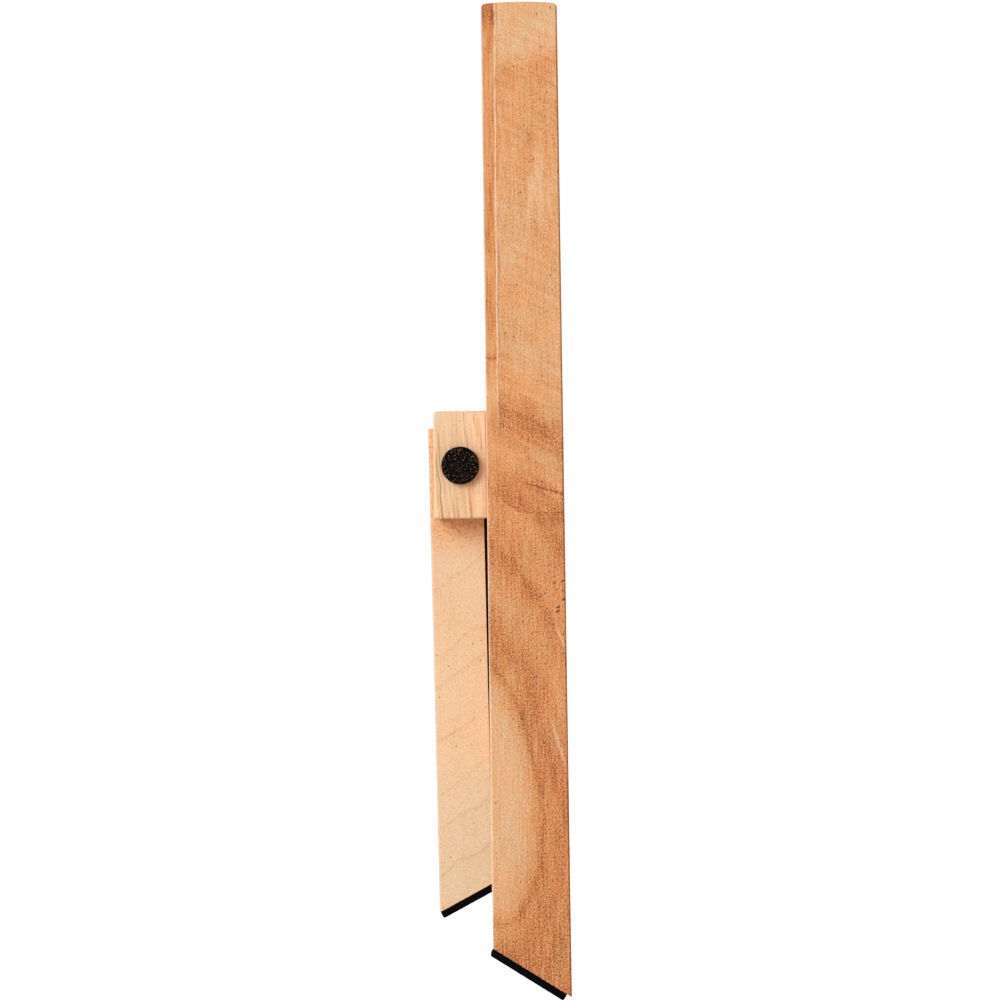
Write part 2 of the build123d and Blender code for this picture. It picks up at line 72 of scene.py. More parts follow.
# Dots vary in size, as shares of the radius asked for, and have soft edges.
DOT_SMALLEST = 0.5
DOT_VARIETY = 0.7
DOT_SOFTNESS = 0.12

# Sanded wood: its relief in millimetres, and its roughness from 0 to 1.
FIBRE_HEIGHT = 0.05
GRIT_HEIGHT = 0.08
PORE_DEPTH = 0.02
WOOD_ROUGHNESS = 0.56

FLOOR_HALF = 4.0  # metres
FLOOR_GLOW = 0.25  # what the floor gives off towards the easel
FLOOR_SEEN = 0.72  # what is added where the floor itself is seen

WORLD_LEVEL = 0.44
WORLD_FALL = -0.30  # dimmer towards the front
WORLD_RISE = 0.12  # brighter above
WORLD_SEEN = 1.05

CAMERA_PLACE = (0.0208, -2.838, 0.2545)  # metres
CAMERA_LENS = 245.3  # millimetres
CAMERA_TURN = 0.393  # degrees, as are the next two
CAMERA_DIP = 1.106
CAMERA_ROLL = -0.857


# ------------------------------------------------------------------ node graph helper
def srgb(red, green, blue):
    """A colour of 0 to 255 per channel as the linear RGBA that shaders use."""
    channels = [value / 255 for value in (red, green, blue)]
    linear = [
        value / 12.92 if value <= 0.04045 else ((value + 0.055) / 1.055) ** 2.4
        for value in channels
    ]
    return (*linear, 1.0)


class Graph:
    """Short calls that build a node tree."""

    def __init__(self, tree):
        self.tree = tree
        self.tree.nodes.clear()

    def node(self, kind, **settings):
        made = self.tree.nodes.new(kind)
        for key, value in settings.items():
            setattr(made, key, value)
        return made

    def feed(self, socket, value):
        """Sets a socket to a number or colour, or links it to another node's output."""
        if isinstance(value, bpy.types.NodeSocket):
            self.tree.links.new(value, socket)
        else:
            socket.default_value = value

    def moved(self, vector, location=(0, 0, 0), degrees=(0, 0, 0), scale=(1, 1, 1)):
        made = self.node("ShaderNodeMapping")
        self.feed(made.inputs["Vector"], vector)
        made.inputs["Location"].default_value = location
        made.inputs["Rotation"].default_value = [math.radians(d) for d in degrees]
        made.inputs["Scale"].default_value = scale
        return made.outputs["Vector"]

    def split(self, vector):
        made = self.node("ShaderNodeSeparateXYZ")
        self.feed(made.inputs[0], vector)
        return made.outputs

    def math(self, operation, first, second=0.0, third=0.0, clamp=False):
        made = self.node("ShaderNodeMath", operation=operation, use_clamp=clamp)
        for socket, value in zip(made.inputs, (first, second, third)):
            self.feed(socket, value)
        return made.outputs[0]

    def plus(self, base, value, by=None):
        """base plus value, or base plus by times value."""
        if by is None:
            return self.math("ADD", base, value)
        return self.math("MULTIPLY_ADD", value, by, base)

    def minus(self, first, second):
        return self.math("SUBTRACT", first, second)

    def times(self, first, second):
        return self.math("MULTIPLY", first, second)

    def magnitude(self, value):
        return self.math("ABSOLUTE", value)

    def smooth(self, value, start, end, low=0.0, high=1.0):
        """low where value is at start, high where it is at end, smooth between them."""
        made = self.node("ShaderNodeMapRange", interpolation_type="SMOOTHSTEP")
        for socket, given in zip(made.inputs, (value, start, end, low, high)):
            self.feed(socket, given)
        return made.outputs["Result"]

    def band(self, value, middle, half_width):
        """1 in the middle of a band, falling smoothly to 0 half_width either side."""
        return self.smooth(self.magnitude(self.minus(value, middle)), half_width, 0.0)

    def blend(self, share, first, second):
        """first where share is 0, second where it is 1."""
        return self.plus(first, share, by=self.minus(second, first))

    def noise(self, vector, scale, detail=2.0, roughness=0.5):
        """Noise from about 0.2 to 0.8, scale in features per millimetre."""
        made = self.node("ShaderNodeTexNoise")
        self.feed(made.inputs["Vector"], vector)
        made.inputs["Scale"].default_value = scale
        made.inputs["Detail"].default_value = detail
        made.inputs["Roughness"].default_value = roughness
        return made.outputs["Fac"]

    def centred_noise(self, vector, scale, size, **settings):
        """Noise about zero that reaches roughly plus or minus size."""
        centred = self.minus(self.noise(vector, scale, **settings), 0.5)
        return self.times(centred, 4 * size)

    def shaken(self, value, vector, scale, size, **settings):
        """value with centred noise added to it."""
        return self.plus(value, self.centred_noise(vector, scale, size, **settings))

    def ramp(self, value, stops):
        """Colours at positions along value, stops as (position, colour)."""
        made = self.node("ShaderNodeValToRGB")
        elements = made.color_ramp.elements
        while len(elements) < len(stops):
            elements.new(1.0)
        for element, (position, colour) in zip(elements, stops):
            element.position = position
            element.color = colour
        self.feed(made.inputs["Fac"], value)
        return made.outputs["Color"]

    def curve(self, value, stops, end):
        """A number that follows stops of (input, output), inputs from 0 to end."""
        grey = [(at / end, (level, level, level, 1)) for at, level in stops]
        return self.ramp(self.math("DIVIDE", value, end), grey)

    def mix(self, factor, first, second, blend="MIX"):
        made = self.node("ShaderNodeMix", data_type="RGBA", blend_type=blend)
        self.feed(made.inputs["Factor"], factor)
        self.feed(made.inputs[6], first)
        self.feed(made.inputs[7], second)
        return made.outputs[2]

    def stain(self, colour, mask, tint, strength=None):
        """Lays tint over colour where mask is 1, in full or at the given strength."""
        share = mask if strength is None else self.times(mask, strength)
        return self.mix(share, colour, tint)

    def dots(self, vector, spacing, radius, share):
        """1 in small dots about spacing apart, in that share of the cells."""
        made = self.node("ShaderNodeTexVoronoi", feature="F1")
        self.feed(made.inputs["Vector"], vector)
        made.inputs["Scale"].default_value = 1 / spacing
        chosen = self.split(made.outputs["Color"])
        present = self.math("LESS_THAN", chosen[0], share)
        size = self.plus(DOT_SMALLEST * radius, chosen[1], by=DOT_VARIETY * radius)
        distance = self.times(made.outputs["Distance"], spacing)
        inside = self.smooth(self.minus(size, distance), -DOT_SOFTNESS, DOT_SOFTNESS)
        return self.times(inside, present)


class MaterialGraph(Graph):
    """The node tree of a new material."""

    def __init__(self, name):
        self.material = bpy.data.materials.new(name)
        self.material.use_nodes = True
        super().__init__(self.material.node_tree)
        coordinates = self.node("ShaderNodeTexCoord")
        self.normal = coordinates.outputs["Normal"]
        # Object coordinates are metres in the object's rest frame; here they are mm.
        self.place = self.moved(coordinates.outputs["Object"], scale=(1000, 1000, 1000))

    def openness(self, reach):
        """1 out in the open, less in a crevice, looking reach millimetres around."""
        made = self.node("ShaderNodeAmbientOcclusion", samples=8)
        made.inputs["Distance"].default_value = reach * MM
        return made.outputs["AO"]

    def surface(self, colour, roughness, height=None, **settings):
        """Ends the tree. height is in millimetres; settings are other shader sockets."""
        shader = self.node("ShaderNodeBsdfPrincipled")
        self.feed(shader.inputs["Base Color"], colour)
        self.feed(shader.inputs["Roughness"], roughness)
        for name, value in settings.items():
            self.feed(shader.inputs[name.replace("_", " ")], value)
        if height is not None:
            bump = self.node("ShaderNodeBump")
            bump.inputs["Distance"].default_value = MM
            self.feed(bump.inputs["Height"], height)
            self.feed(shader.inputs["Normal"], bump.outputs["Normal"])
        output = self.node("ShaderNodeOutputMaterial")
        self.feed(output.inputs["Surface"], shader.outputs["BSDF"])
        return self.material


# ------------------------------------------------------------------------------- wood
# Tones of the two woods, from pale early wood to the darkest rings.
LEG_TONES = [
    (0.00, srgb(252, 216, 176)),
    (0.25, srgb(245, 195, 145)),
    (0.50, srgb(240, 169, 107)),
    (0.75, srgb(221, 134, 67)),
    (1.00, srgb(156, 76, 32)),
]
PALE_TONES = [
    (0.00, srgb(254, 236, 204)),
    (0.30, srgb(251, 217, 175)),
    (0.55, srgb(243, 199, 151)),
    (0.80, srgb(220, 152, 98)),
    (1.00, srgb(166, 96, 52)),
]
# The hue of the leg wood drifts a little from place to place.
HUE_DRIFT = [(0.35, srgb(255, 245, 238)), (0.65, srgb(248, 252, 255))]

CREAM = srgb(255, 230, 198)
RUST_BROWN = srgb(186, 100, 50)
PORE_BROWN = srgb(98, 34, 4)
PIT_BROWN = srgb(64, 22, 2)
# The colour of the painted shade on a front leg's front arris.
FRONT_ARRIS_SHADE = srgb(112, 74, 66)
REAR_ORANGE = srgb(255, 184, 116)
REAR_DIRT = srgb(206, 106, 44)
REAR_PINK = srgb(252, 200, 160)
REAR_PORE = srgb(140, 66, 20)
SHADE_BLACK = srgb(40, 9, 3)
BLOCK_STREAK = srgb(198, 128, 70)
BLOCK_PORE = srgb(150, 92, 52)

# Darkness of growth rings by their radius in millimetres.
FLAME_RINGS = [
    (0, 0.34),
    (21, 0.34),
    (26, 0.45),
    (29, 0.60),
    (31, 0.80),
    (33, 0.66),
    (38, 0.73),
    (43, 0.68),
    (48, 0.58),
    (53, 0.64),
    (58, 0.78),
    (60, 0.62),
    (70, 0.58),
    (75, 0.72),
    (78, 0.62),
    (100, 0.56),
    (120, 0.60),
]
# Darkness of the upper board's slanting bands, by how many millimetres down its back
# face they start.
BOARD_BANDS = [
    (0, 0.55),
    (30, 0.54),
    (50, 0.50),
    (66, 0.46),
    (90, 0.44),
    (146, 0.44),
    (158, 0.48),
    (166, 0.78),
    (176, 0.66),
    (184, 0.52),
    (192, 0.64),
    (204, 0.74),
    (220, 0.64),
]


class Wood:
    """Growth rings, fibres and pores in a board.

    grain is the place in millimetres, with Z along the fibres.
    """

    def __init__(self, graph, grain, seed):
        self.graph = graph
        self.grain = grain
        self.seeded = graph.moved(grain, location=(seed, 2 * seed, 3 * seed))

    def along(self, stretch):
        """The place squeezed along the fibres, so that noise draws out into streaks."""
        return self.graph.moved(self.seeded, scale=(1, 1, 1 / stretch))

    def arches(self, rings, pith, lean, tilt=0.0, wander=1.5):
        """Nested arches: circles about a pith line that leans away from the fibres.

        pith is where that line meets the board's face, lean its angle to the face and
        tilt its angle to the fibres within the face, both in degrees.
        """
        graph = self.graph
        shifted = graph.moved(self.grain, location=[-value for value in pith])
        tilted = graph.moved(shifted, degrees=(0, tilt, 0))
        x, y, _z = graph.split(graph.moved(tilted, degrees=(lean, 0, 0)))
        radius = graph.math("SQRT", graph.plus(graph.times(x, x), graph.times(y, y)))
        radius = graph.shaken(radius, self.along(2.5), scale=0.07, size=wander, detail=4)
        return graph.curve(radius, rings, end=rings[-1][0])

    def texture(self, tone, cloud=0.08, fibre=0.18, speckle=0.62):
        """Adds soft clouds, long fibres and fine speckle to a ring darkness."""
        graph = self.graph
        clouds = graph.centred_noise(self.along(2.5), scale=0.08, size=cloud, detail=3)
        fibres = graph.centred_noise(self.along(16), scale=1.2, size=fibre, detail=3)
        speckles = graph.centred_noise(
            self.along(1.3), scale=1.6, size=speckle, detail=3, roughness=0.75
        )
        # Fibres and speckle stand out more in darker wood.
        strength = graph.plus(0.63, tone, by=0.45)
        fine = graph.times(graph.plus(fibres, speckles), strength)
        return graph.math("ADD", graph.plus(tone, clouds), fine, clamp=True)

    def pores(self, spacing=1.9, radius=0.25):
        """Fine dark pores, a little longer along the fibres, crowded in some places."""
        crowded = self.graph.noise(self.seeded, scale=0.05)
        crowded = self.graph.smooth(crowded, 0.45, 0.68, low=0.10, high=0.8)
        return self.graph.dots(self.along(1.6), spacing, radius, crowded)

    def relief(self, pores):
        """Height of the sanded surface, in millimetres."""
        graph = self.graph
        fibres = graph.noise(self.along(22), scale=2.0, detail=4)
        grit = graph.noise(self.seeded, scale=1.6, detail=3)
        raised = graph.plus(graph.times(grit, GRIT_HEIGHT), fibres, by=FIBRE_HEIGHT)
        return graph.plus(raised, pores, by=-PORE_DEPTH)

    def roughness(self):
        return self.graph.shaken(WOOD_ROUGHNESS, self.seeded, scale=0.8, size=0.06, detail=3)


def upper_board(wood, depth, down):
    """Darkness of a front leg's upper board, with its slanting bands."""
    graph = wood.graph
    slant = graph.plus(down, depth, by=-0.6)
    slant = graph.shaken(slant, wood.along(1.5), scale=0.07, size=5.0, detail=4)
    tone = graph.curve(slant, BOARD_BANDS, end=BOARD_BANDS[-1][0])
    # Fine figure slants down across the grain.
    figure = graph.moved(graph.moved(wood.seeded, degrees=(0, -30, 0)), scale=(0.12, 1, 1))
    tone = graph.shaken(tone, figure, scale=0.45, size=0.11, detail=3)
    # A pale patch at the very top and a faint feather below it.
    top = graph.plus(down, depth, by=0.3)
    top = graph.shaken(top, wood.seeded, scale=0.1, size=3.0, detail=3)
    tone = graph.minus(tone, graph.smooth(top, 35.0, 24.0, high=0.24))
    feather = graph.times(graph.band(depth, 20.0, 11.0), graph.band(down, 74.0, 36.0))
    streaks = graph.noise(wood.along(8), scale=0.28, detail=3)
    streaks = graph.smooth(streaks, 0.40, 0.60, low=-0.06, high=0.22)
    return graph.minus(tone, graph.times(feather, streaks))


def lower_board(wood, depth, down):
    """Darkness of a front leg's lower board, with its one long flame."""
    graph = wood.graph
    tone = wood.arches(FLAME_RINGS, FLAME_PITH, FLAME_LEAN, FLAME_TILT, wander=1.3)
    # Darker towards the foot, but pale at the back where the flame tails off.
    tone = graph.plus(tone, graph.smooth(down, 370.0, 412.0, high=0.13))
    tail = graph.times(graph.band(down, 386.0, 16.0), graph.smooth(depth, 14.0, 5.0))
    return graph.plus(tone, tail, by=-0.16)


def leg_boards(wood, depth, down):
    """Darkness of a front leg, whose two boards meet in a finger joint."""
    graph = wood.graph
    joint = graph.smooth(depth, 2.0, 14.0, low=JOINT_DOWN_AT_BACK, high=JOINT_DOWN_AT_FRONT)
    below = graph.minus(down, joint)
    is_lower = graph.smooth(below, -0.4, 0.4)
    upper = upper_board(wood, depth, down)
    lower = lower_board(wood, depth, down)
    tone = graph.blend(is_lower, upper, lower)
    # At the front there is a dark patch just below the joint, and its seam shows.
    patch = graph.times(is_lower, graph.smooth(below, 8.0, 3.0))
    patch = graph.times(patch, graph.smooth(depth, 17.0, 22.0, high=0.18))
    tone = graph.plus(tone, patch)
    front_half = graph.smooth(depth, 13.0, 20.0)
    seam = graph.times(graph.band(below, 0.0, 0.45), front_half)
    tone = graph.plus(tone, seam, by=0.16)
    # A thin crack climbs away from the joint.
    crack = graph.plus(down, depth, by=-0.33)
    crack = graph.shaken(crack, wood.seeded, scale=0.3, size=0.5)
    crack = graph.times(graph.band(crack, CRACK_DOWN, 0.9), front_half)
    return graph.plus(tone, crack, by=0.36)


def back_strip(wood, colour, depth, inward, down):
    """Lays the darker lamination along the back over colour, with its glue line."""
    graph = wood.graph
    edge = graph.plus(STRIP_DEPTH, down, by=-STRIP_TAPER)
    edge = graph.shaken(edge, wood.seeded, scale=0.03, size=0.5, detail=4)
    edge = graph.shaken(edge, wood.seeded, scale=0.35, size=0.12, detail=3)
    past_edge = graph.minus(depth, edge)
    strip = graph.smooth(past_edge, 0.08, -0.08)
    strip = graph.times(strip, graph.smooth(down, 214.0, 190.0))
    tone = graph.shaken(STRIP_TONE, wood.along(4), scale=0.22, size=0.16, detail=3)
    # Dark at the top corner, yellower low down below a small knot.
    tone = graph.plus(tone, graph.smooth(down, 14.0, 3.0, high=0.20))
    tone = graph.plus(tone, graph.band(down, 166.0, 16.0), by=-0.16)
    knot = graph.shaken(down, wood.seeded, scale=0.35, size=1.6, detail=3)
    knot = graph.times(graph.band(knot, KNOT_DOWN, 1.8), graph.smooth(inward, 6.0, 2.0))
    tone = graph.plus(tone, knot, by=0.22)
    tone = wood.texture(tone, cloud=0.05, speckle=0.34)
    colour = graph.stain(colour, strip, graph.ramp(tone, LEG_TONES))

    # The glue line is pale and broken, with a thin rusty line beside it.
    broken = graph.noise(wood.along(1.5), scale=0.4, detail=4)
    broken = graph.smooth(broken, 0.33, 0.50)
    glue = graph.times(graph.band(past_edge, 0.0, GLUE_HALF_WIDTH), broken)
    glue = graph.times(glue, graph.times(graph.smooth(down, 190.0, 160.0), 0.85))
    colour = graph.stain(colour, glue, CREAM)
    patchy = graph.noise(wood.along(3), scale=0.25, detail=3)
    patchy = graph.smooth(patchy, 0.4, 0.6)
    beside = graph.times(graph.band(past_edge, 0.9, 0.55), patchy)
    beside = graph.times(beside, graph.smooth(down, 200.0, 170.0, high=0.5))
    return graph.stain(colour, beside, RUST_BROWN)


def leg_wear_and_painted_edges(wood, colour, depth, inward, down):
    """Lays painted highlight and wear on the back arris, painted shade on the front arris,
    scratches and pits over a front leg's colour.
    """
    graph = wood.graph
    # Painted highlight, partly wear: the back arris is paler.
    outer = graph.smooth(inward, 1.6, 0.6)
    inner = graph.smooth(inward, LEG_WIDTH - 1.6, LEG_WIDTH - 0.6)
    at_edge = graph.plus(outer, inner)
    wear_and_highlight = graph.times(at_edge, graph.smooth(depth, 0.7, 0.15, high=0.5))
    colour = graph.stain(colour, wear_and_highlight, CREAM)
    # Pale scratches run down and out to the front edge.
    for start, end, inset in SCRATCHES:
        line = graph.smooth(down, start, end, low=LEG_DEPTH - inset, high=LEG_DEPTH)
        off_line = graph.minus(depth, line)
        off_line = graph.shaken(off_line, wood.seeded, scale=0.3, size=0.3)
        length = graph.band(down, (start + end) / 2, (end - start) / 2)
        scratch = graph.times(graph.band(off_line, 0.0, 0.9), length)
        colour = graph.stain(colour, scratch, CREAM, strength=0.45)
    # Painted shade on the front arris: darker there.
    front_arris_shade = graph.smooth(depth, LEG_DEPTH - 0.9, LEG_DEPTH - 0.25, high=0.7)
    colour = graph.stain(colour, graph.times(at_edge, front_arris_shade), FRONT_ARRIS_SHADE)
    # Small slanting pits crowd by the front edge a little below the joint.
    pitted = graph.times(graph.band(down, PITS_DOWN, 15.0), graph.smooth(depth, 20.0, 26.0))
    pitted = graph.smooth(pitted, 0.0, 0.3, high=0.85)
    slanted = graph.moved(graph.moved(wood.seeded, degrees=(0, 30, 0)), scale=(0.45, 0.45, 1))
    pits = graph.dots(slanted, spacing=1.7, radius=0.42, share=0.7)
    return graph.stain(colour, graph.times(pits, pitted), PIT_BROWN)


def leg_wood(name, side, seed):
    """Laminated, finger-jointed stock of a front leg, side -1 for left, +1 for right."""
    graph = MaterialGraph(name)
    splay = math.radians(SPLAY)
    upright = graph.moved(graph.place, degrees=(-side * SPLAY, 0, 0))
    top_y = side * TOP_HALF_WIDTH * math.cos(splay) + side * HEIGHT * math.sin(splay)
    top_z = -TOP_HALF_WIDTH * math.sin(splay) + HEIGHT * math.cos(splay)
    # X from the back face, Y from the outer face, Z up the leg from its top.
    local = graph.moved(upright, location=(-BACK_X, -top_y, -top_z))
    depth, across, along = graph.split(local)
    inward = graph.magnitude(across)
    down = graph.times(along, -1.0)
    wood = Wood(graph, local, seed)
    colour = graph.ramp(wood.texture(leg_boards(wood, depth, down)), LEG_TONES)
    drift = graph.ramp(graph.noise(wood.seeded, scale=0.05, detail=3), HUE_DRIFT)
    colour = graph.mix(1.0, colour, drift, "MULTIPLY")
    colour = back_strip(wood, colour, depth, inward, down)
    colour = leg_wear_and_painted_edges(wood, colour, depth, inward, down)
    pores = wood.pores()
    colour = graph.stain(colour, pores, PORE_BROWN, strength=0.8)
    return graph.surface(colour, wood.roughness(), wood.relief(pores))


def painted_slot_shade(graph, height):
    """Painted shade: 1 on the upper part of the rear leg's front bevels, while they lie shut
    in.
    """
    facing, sideways, _up = graph.split(graph.normal)
    bevel = graph.smooth(graph.magnitude(sideways), 0.12, 0.2)
    bevel = graph.times(bevel, graph.smooth(facing, 0.3, 0.8))
    bevel = graph.times(bevel, graph.smooth(height, SHADE_FROM, SHADE_FULL))
    return graph.times(bevel, graph.smooth(graph.openness(SHADE_REACH), 0.95, 0.75))


def rear_leg_wood():
    """Pale, with thin rings that climb towards the front."""
    graph = MaterialGraph("rear_leg_wood")
    wood = Wood(graph, graph.place, seed=41.0)
    depth, _across, height = graph.split(graph.place)
    climb = graph.plus(height, depth, by=-0.7)
    climb = graph.shaken(climb, wood.along(2), scale=0.06, size=3.0, detail=3)
    rings = [(0, 0.34)]
    for at in REAR_RINGS:
        rings += [(at - 1.4, 0.32), (at, 0.50), (at + 0.7, 0.30)]
    tone = graph.curve(climb, rings, end=260)
    # Painted shade just under the hinge blocks: darker there.
    tone = graph.plus(tone, graph.smooth(height, 180.0, 193.0, high=0.22))
    tone = wood.texture(tone, cloud=0.10, fibre=0.06, speckle=0.50)
    colour = graph.ramp(tone, PALE_TONES)
    # An orange stain with dirt just under the hinge blocks; partly it is the red of the painted
    # shade there.
    stain_and_shade = graph.smooth(height, STAIN_AND_SHADE_FROM, STAIN_AND_SHADE_FULL, high=0.5)
    colour = graph.stain(colour, stain_and_shade, REAR_ORANGE)
    dirt = graph.smooth(graph.noise(wood.seeded, scale=0.9, detail=3), 0.50, 0.64)
    colour = graph.stain(colour, graph.times(dirt, stain_and_shade), REAR_DIRT)
    # Pinker towards the back.
    pinker = graph.smooth(depth, BACK_X - 19.0, BACK_X - 24.0, high=0.35)
    colour = graph.stain(colour, pinker, REAR_PINK)
    pores = wood.pores(spacing=3.2)
    colour = graph.stain(colour, pores, REAR_PORE, strength=0.65)
    # Painted shade: nearly black and without gloss where it is shut in.
    slot_shade = painted_slot_shade(graph, height)
    colour = graph.stain(colour, slot_shade, SHADE_BLACK)
    gloss = graph.plus(0.5, slot_shade, by=-0.5)
    return graph.surface(colour, wood.roughness(), wood.relief(pores), Specular_IOR_Level=gloss)


def block_wood(name, seed):
    """Straight-grained pale wood with narrow brown streaks."""
    graph = MaterialGraph(name)
    wood = Wood(graph, graph.moved(graph.place, degrees=(0, 4, 0)), seed)
    depth, _across, height = graph.split(graph.place)
    tone = graph.smooth(height, 190.0, 240.0, low=0.42, high=0.38)
    tone = wood.texture(tone, cloud=0.10, fibre=0.34, speckle=0.34)
    colour = graph.ramp(tone, PALE_TONES)
    streaks = graph.noise(wood.along(26), scale=0.9, detail=4, roughness=0.6)
    streaks = graph.smooth(streaks, 0.57, 0.68, high=0.8)
    colour = graph.stain(colour, streaks, BLOCK_STREAK)
    # One rusty streak wanders down near the back.
    across = graph.plus(depth, height, by=0.10)
    across = graph.shaken(across, wood.seeded, scale=0.12, size=0.6, detail=3)
    rusty = graph.times(graph.band(across, -2.6, 0.5), graph.smooth(height, 225, 215))
    colour = graph.stain(colour, rusty, RUST_BROWN, strength=0.7)
    pores = wood.pores(spacing=1.8, radius=0.16)
    colour = graph.stain(colour, pores, BLOCK_PORE, strength=0.5)
    return graph.surface(colour, wood.roughness(), wood.relief(pores))


def rail_wood(name, seed):
    """A cross piece: the same stock as the legs, with its grain across the easel."""
    graph = MaterialGraph(name)
    wood = Wood(graph, graph.moved(graph.place, degrees=(90, 0, 0)), seed)
    rings = wood.arches(FLAME_RINGS, pith=(30, 22, 0), lean=6.0, wander=2.0)
    tone = wood.texture(graph.minus(rings, 0.06), cloud=0.12)
    colour = graph.ramp(tone, LEG_TONES)
    pores = wood.pores()
    colour = graph.stain(colour, pores, PORE_BROWN, strength=0.6)
    return graph.surface(colour, wood.roughness(), wood.relief(pores))


# ------------------------------------------------------------ rubber, metal and fibre
RUBBER_BLACK = srgb(6, 5, 5)
RUBBER_DUST = srgb(40, 36, 33)
CAP_SPECK = srgb(224, 190, 158)
PAD_SPECK = srgb(52, 46, 42)
ZINC = srgb(196, 197, 200)
YELLOW_ZINC = srgb(224, 176, 108)
DULL_METAL = srgb(120, 116, 108)
FIBRE_DARK = srgb(84, 52, 34)
FIBRE_PALE = srgb(124, 84, 58)


def black_rubber(name, grain, bright):
    """Coarse matt black rubber; grain is the size of its bright specks in millimetres."""
    graph = MaterialGraph(name)
    specks = graph.noise(graph.place, scale=1 / grain, detail=4, roughness=0.65)
    colour = graph.mix(graph.smooth(specks, 0.57, 0.72), RUBBER_BLACK, bright)
    dusty = graph.noise(graph.place, scale=0.15)
    dusty = graph.smooth(dusty, 0.5, 0.75, high=0.12)
    colour = graph.stain(colour, dusty, RUBBER_DUST)
    roughness = graph.smooth(specks, 0.3, 0.7, low=0.62, high=0.92)
    height = graph.times(specks, 0.35)
    return graph.surface(colour, roughness, height, Specular_IOR_Level=0.05)


def turned_steel(name, bright):
    """Plated steel with fine turning marks and dull spots."""
    graph = MaterialGraph(name)
    marks = graph.noise(graph.moved(graph.place, scale=(6, 0.6, 6)), scale=0.9, detail=3)
    dull = graph.noise(graph.place, scale=0.35, detail=3)
    colour = graph.mix(graph.smooth(dull, 0.45, 0.7, high=0.4), bright, DULL_METAL)
    roughness = graph.smooth(marks, 0.3, 0.7, low=0.26, high=0.46)
    height = graph.times(marks, 0.02)
    return graph.surface(colour, roughness, height, Metallic=1.0)


def fibre_board():
    """Pressed brown fibre with paler flecks."""
    graph = MaterialGraph("fibre")
    flecks = graph.noise(graph.moved(graph.place, scale=(1, 0.4, 1)), scale=1.6, detail=4)
    colour = graph.mix(graph.smooth(flecks, 0.35, 0.7), FIBRE_DARK, FIBRE_PALE)
    roughness = graph.smooth(flecks, 0.3, 0.7, low=0.6, high=0.8)
    return graph.surface(colour, roughness, height=flecks)


def finish(material, *names):
    """Gives CAD nodes a material in place of their packed one."""
    for name in names:
        for slot in nodes[name].material_slots:
            slot.material = material


CAPS = ("pivot_cap_left", "pivot_cap_right")
PADS = ("front_foot_pad_left", "front_foot_pad_right", "rear_foot_pad")
BOLT_PARTS = ("pivot_bolt", "pivot_nut", "pivot_washers", "ledge_pins")

finish(leg_wood("leg_wood_left", side=-1, seed=0.0), "front_leg_left")
finish(leg_wood("leg_wood_right", side=1, seed=57.0), "front_leg_right")
finish(rear_leg_wood(), "rear_leg")
finish(block_wood("block_wood_left", seed=11.0), "hinge_block_left")
finish(block_wood("block_wood_right", seed=83.0), "hinge_block_right")
finish(rail_wood("hinge_rail_wood", seed=19.0), "hinge_rail")
finish(rail_wood("lower_rail_wood", seed=37.0), "lower_rail")
finish(rail_wood("ledge_wood", seed=71.0), "ledge_board")
finish(rail_wood("lip_wood", seed=95.0), "ledge_lip")
finish(rail_wood("dowel_wood", seed=5.0), "apex_dowels", "rail_dowels")
finish(black_rubber("cap_black", grain=0.5, bright=CAP_SPECK), *CAPS)
finish(black_rubber("pad_rubber", grain=0.9, bright=PAD_SPECK), *PADS)
finish(turned_steel("bolt_steel", bright=ZINC), *BOLT_PARTS)
finish(turned_steel("screw_steel", bright=YELLOW_ZINC), "block_screws")
finish(fibre_board(), "leg_washers")


# ---------------------------------------------------------------------- rough rubber
def roughen(name, voxel, grain, depth):
    """Moulded rubber isn't sharp: a fine skin over the solid, pushed in and out.

    The three sizes are in millimetres.
    """
    piece = nodes[name]
    skin = piece.modifiers.new("skin", "REMESH")
    skin.mode = "VOXEL"
    skin.voxel_size = voxel * MM
    skin.use_smooth_shade = True
    clouds = bpy.data.textures.new(name + "_clouds", "CLOUDS")
    clouds.noise_scale = grain * MM
    clouds.noise_depth = 2
    push = piece.modifiers.new("push", "DISPLACE")
    push.texture = clouds
    push.texture_coords = "LOCAL"
    push.strength = depth * MM
    # Above a half, so that the skin goes inwards more than outwards.
    push.mid_level = 0.62


for cap in CAPS:
    roughen(cap, voxel=0.22, grain=0.6, depth=0.30)
for pad in PADS:
    roughen(pad, voxel=0.35, grain=1.6, depth=0.16)


# ------------------------------------------------------------------ floor, light, view
def add_floor():
    """A plain white floor that carries the faintest shadow."""
    mesh = bpy.data.meshes.new("floor")
    turns = ((-1, -1), (1, -1), (1, 1), (-1, 1))
    corners = [(x * FLOOR_HALF, y * FLOOR_HALF, 0) for x, y in turns]
    mesh.from_pydata(corners, [], [(0, 1, 2, 3)])
    floor = bpy.data.objects.new("floor", mesh)
    bpy.context.scene.collection.objects.link(floor)
    graph = MaterialGraph("floor_white")
    mottle = graph.noise(graph.place, scale=0.01)
    colour = graph.mix(mottle, srgb(150, 150, 150), srgb(158, 158, 158))
    # It shows as paper white but throws back much less light than that.
    path = graph.node("ShaderNodeLightPath")
    glow = graph.plus(FLOOR_GLOW, path.outputs["Is Camera Ray"], by=FLOOR_SEEN)
    material = graph.surface(
        colour,
        0.9,
        Specular_IOR_Level=0.0,
        Emission_Color=(1.0, 1.0, 1.0, 1.0),
        Emission_Strength=glow,
    )
    floor.data.materials.append(material)


def add_light(name, place, size, power, target=(0.0, 0.0, 0.2)):
    """A round soft light that points at target; size in metres, power in watts."""
    data = bpy.data.lights.new(name, "AREA")
    data.shape = "DISK"
    data.size = size
    data.energy = power
    light = bpy.data.objects.new(name, data)
    bpy.context.scene.collection.objects.link(light)
    away = Vector(place) - Vector(target)
    light.location = place
    light.rotation_euler = away.to_track_quat("Z", "Y").to_euler()


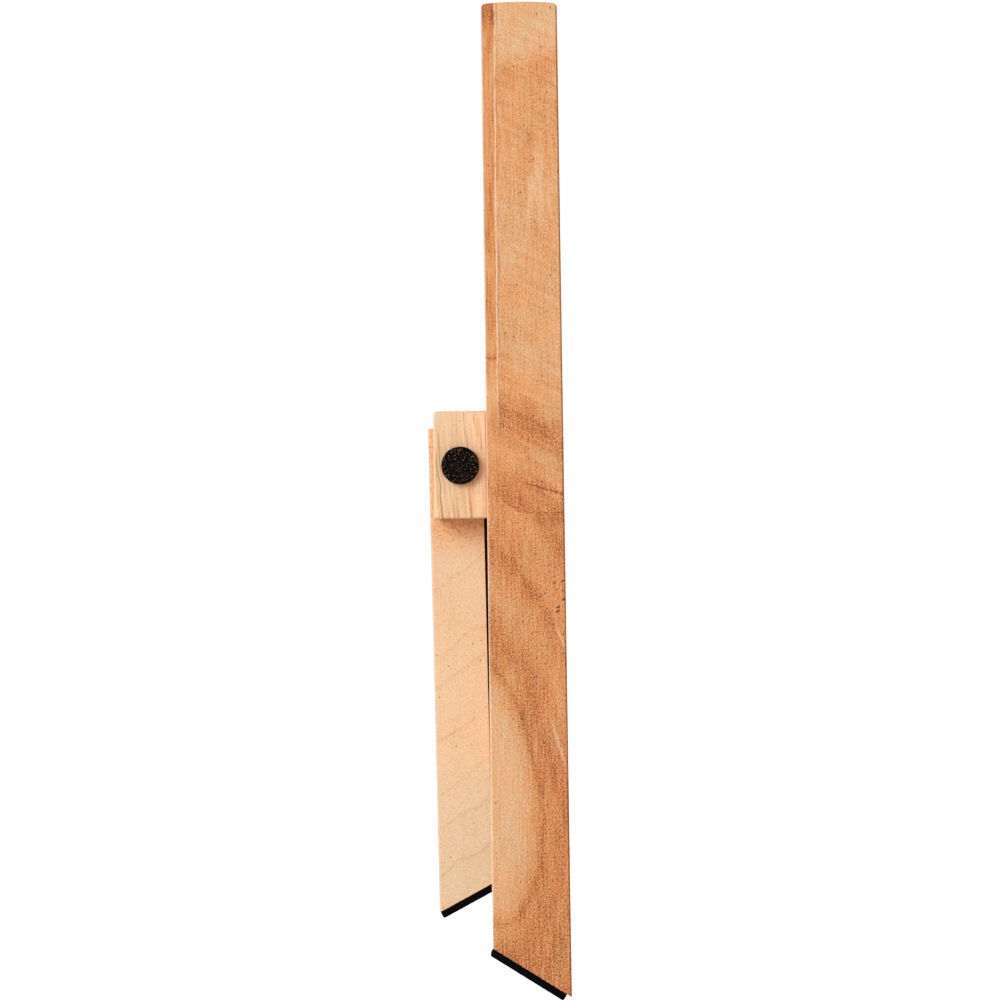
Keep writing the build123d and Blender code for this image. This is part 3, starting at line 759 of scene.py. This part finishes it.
def add_world():
    """White all round, a little brighter above and behind the easel."""
    world = bpy.data.worlds.new("white_room")
    bpy.context.scene.world = world
    world.use_nodes = True
    graph = Graph(world.node_tree)
    coordinates = graph.node("ShaderNodeTexCoord")
    x, _y, z = graph.split(coordinates.outputs["Generated"])
    level = graph.plus(graph.plus(WORLD_LEVEL, x, by=WORLD_FALL), z, by=WORLD_RISE)
    lit = graph.node("ShaderNodeBackground")
    graph.feed(lit.inputs["Color"], (1.0, 0.99, 0.98, 1.0))
    graph.feed(lit.inputs["Strength"], level)
    seen = graph.node("ShaderNodeBackground")
    graph.feed(seen.inputs["Color"], (1.0, 1.0, 1.0, 1.0))
    graph.feed(seen.inputs["Strength"], WORLD_SEEN)
    path = graph.node("ShaderNodeLightPath")
    choose = graph.node("ShaderNodeMixShader")
    graph.feed(choose.inputs["Fac"], path.outputs["Is Camera Ray"])
    graph.feed(choose.inputs[1], lit.outputs[0])
    graph.feed(choose.inputs[2], seen.outputs[0])
    output = graph.node("ShaderNodeOutputWorld")
    graph.feed(output.inputs["Surface"], choose.outputs[0])


def add_camera():
    """A long lens, a little above the hinge blocks, square to the easel's left side."""
    data = bpy.data.cameras.new("camera")
    data.sensor_width = 36.0
    data.lens = CAMERA_LENS
    camera = bpy.data.objects.new("camera", data)
    bpy.context.scene.collection.objects.link(camera)
    turn = Matrix.Rotation(math.radians(CAMERA_TURN), 4, "Z")
    tip = Matrix.Rotation(math.radians(90 - CAMERA_DIP), 4, "X")
    roll = Matrix.Rotation(math.radians(CAMERA_ROLL), 4, "Z")
    camera.matrix_world = Matrix.Translation(CAMERA_PLACE) @ turn @ tip @ roll
    bpy.context.scene.camera = camera


add_floor()
add_world()
add_light("key", place=(-1.7, -2.4, 1.4), size=1.8, power=51.0)
add_light("back", place=(-1.8, 1.2, 1.2), size=1.2, power=11.0)
add_light("front", place=(2.2, 0.5, 0.9), size=1.5, power=14.0)
add_camera()
bpy.context.scene.view_settings.view_transform = "Standard"
